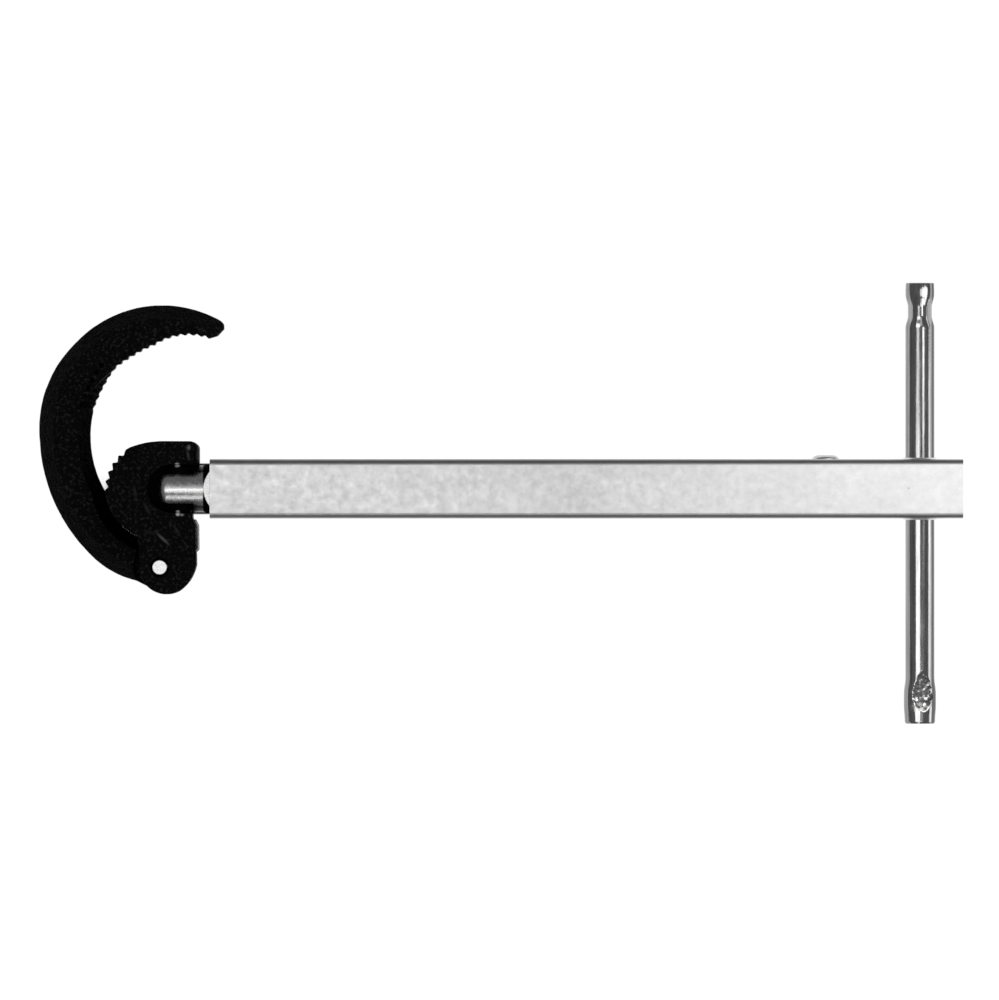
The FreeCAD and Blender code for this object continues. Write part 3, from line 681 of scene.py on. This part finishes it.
def dress(node, material):
    """Gives a carried-over CAD node its material."""
    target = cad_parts[node]
    target.data.materials.clear()
    target.data.materials.append(material)


# ------------------------------------------------------------------ stage

def soft_box(name, place, width, height, glow, aim=None):
    """Soft box of even glow; it looks straight down unless it is aimed."""
    lamp = bpy.data.lights.new(name, "AREA")
    lamp.shape = "RECTANGLE"
    lamp.size = width
    lamp.size_y = height
    lamp.energy = glow * math.pi * width * height
    made = bpy.data.objects.new(name, lamp)
    made.location = place
    if aim is not None:
        made.rotation_euler = (Vector(aim) - Vector(place)).to_track_quat("-Z", "Y").to_euler()
    made.visible_camera = False
    bpy.context.scene.collection.objects.link(made)


def studio(material):
    """Pale board, soft boxes and the room round them."""
    mesh = bpy.data.meshes.new("studio_board")
    reach, level = FLOOR_REACH, CAD_BOX[0][2] - FLOOR_GAP
    corners = [(-reach, -reach, level), (reach, -reach, level),
               (reach, reach, level), (-reach, reach, level)]
    mesh.from_pydata(corners, [], [(0, 1, 2, 3)])
    floor = add_object("studio_board", mesh, material)
    for lamp in OVERHEAD_BOXES + AIMED_BOXES:
        soft_box(*lamp)
    quiet_room()


def quiet_room():
    """Grey room that lights the tool; the camera sees it pale."""
    world = bpy.data.worlds.new("quiet_room")
    bpy.context.scene.world = world
    world.use_nodes = True
    tree = world.node_tree
    seen = tree.nodes.new("ShaderNodeLightPath")
    pale = tree.nodes.new("ShaderNodeBackground")
    pale.inputs["Color"].default_value = (0.9, 0.9, 0.9, 1)
    room = tree.nodes["Background"]
    room.inputs["Color"].default_value = (0.17, 0.17, 0.17, 1)
    blend = tree.nodes.new("ShaderNodeMixShader")
    tree.links.new(seen.outputs["Is Camera Ray"], blend.inputs["Fac"])
    tree.links.new(room.outputs["Background"], blend.inputs[1])
    tree.links.new(pale.outputs["Background"], blend.inputs[2])
    tree.links.new(blend.outputs["Shader"], tree.nodes["World Output"].inputs["Surface"])


def camera():
    """Long lens straight above the tool."""
    data = bpy.data.cameras.new("overhead")
    data.sensor_width = SENSOR_WIDTH_MM
    data.lens = SENSOR_WIDTH_MM * (CAMERA_PLACE[2] - FOCUS_LEVEL) / CAMERA_FIELD
    made = bpy.data.objects.new("overhead", data)
    made.location = CAMERA_PLACE
    bpy.context.scene.collection.objects.link(made)
    bpy.context.scene.camera = made


# ------------------------------------------------------------------ build

def mark(x, y, z):
    """A place on the head, in millimetres from the swivel axis."""
    axis = middle_of("swivel_pin")
    return axis[0] + x * MM, y * MM, axis[2] + z * MM


# Marks on the head: centre, radii, turn in degrees, grey level. The first three are painted glints
# by the swivel pin at the slot walls; the rest are rubbed places and scratches.
head_marks = [
    (mark(-0.45, 7.2, 8.2), (0.95, 0.75, 1.6), 0, 0.95),
    (mark(-0.25, -7.55, 8.2), (0.75, 0.9, 1.6), 0, 0.85),
    (mark(0.9, -7.9, 8.2), (0.9, 0.5, 1.2), 0, 0.30),
    (mark(3.1, 12.5, 8.2), (0.75, 1.05, 0.9), 0, 0.16),
    (mark(2.9, 10.2, 8.2), (0.6, 1.9, 0.9), 10, 0.05),
    (mark(-4.7, -15.2, 8.2), (3.4, 0.55, 0.9), -43, 0.095),
    (mark(-8.6, -13.2, 8.2), (2.8, 0.8, 0.9), -12, 0.012),
    (mark(-0.6, -12.4, 8.2), (2.0, 0.5, 0.9), -50, 0.024),
    (mark(-9.6, -6.0, 8.2), (3.0, 0.7, 0.9), -60, 0.020),
    (mark(-13.2, -1.0, 8.2), (2.6, 0.7, 0.9), -80, 0.020),
    (mark(-12.0, -27.1, 8.2), (2.6, 0.6, 0.9), -65, 0.035),
    (mark(-12.6, -15.6, 8.2), (1.3, 0.6, 0.9), -80, 0.024),
]

black_hook = black_casting("black_hook", 1)
hook = cast_copy("hook_jaw", "hook_cast", black_hook, 0.22, 2, (4.5, 1.6, 0.5), (0.14, 0.07, 0.04))
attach(hook, "hook")
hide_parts("hook_jaw")

black_head = black_casting("black_head", 3, head_marks)
head = cast_copy("jaw_head", "head_cast", black_head, 0.2, 2, (4.5, 1.5, 0.5), (0.14, 0.06, 0.03))
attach(head, "head")
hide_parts("jaw_head")

bar = tee_bar(bright_bar(middle_of("t_bar")))
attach(bar, "tee")
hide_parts("t_bar")

button = button_dome(plain_steel("button_zinc", (0.50, 0.66), (0.28, 0.42), (1, 0.05, 1)))
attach(button, "button")
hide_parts("lock_button")

dress("outer_tube", zinc_tube())
dress("inner_shaft", zinc_shaft(mark(0, 0, 0)))
wire = plain_steel("spring_wire", (0.20, 0.32), (0.22, 0.38), (1, 1, 1))
dress("button_spring", wire)
dress("hook_spring", wire)
dress("hook_pivot_pin", faced_pin(middle_of("hook_pivot_pin")))
dress("swivel_pin", plain_steel("pin_ground", (0.006, 0.014), (0.30, 0.45), (1, 0.05, 1)))
# Painted glints on the washers' outer rims, by the slot walls.
washer_glints = [(mark(-0.45, 7.0, 4.0), (1.0, 0.6, 1.4)), (mark(-0.3, -7.0, 4.0), (0.8, 0.6, 1.4))]
washer = plain_steel("washer_black", (0.0006, 0.0020), (0.55, 0.75), (0.2, 1, 0.2), 0.0, 0.02,
                     washer_glints)
dress("swivel_washer_upper", washer)
dress("swivel_washer_lower", washer)

studio(pale_floor(mark(0, 0, 0)[0]))
camera()
bpy.context.scene.view_settings.view_transform = "Standard"
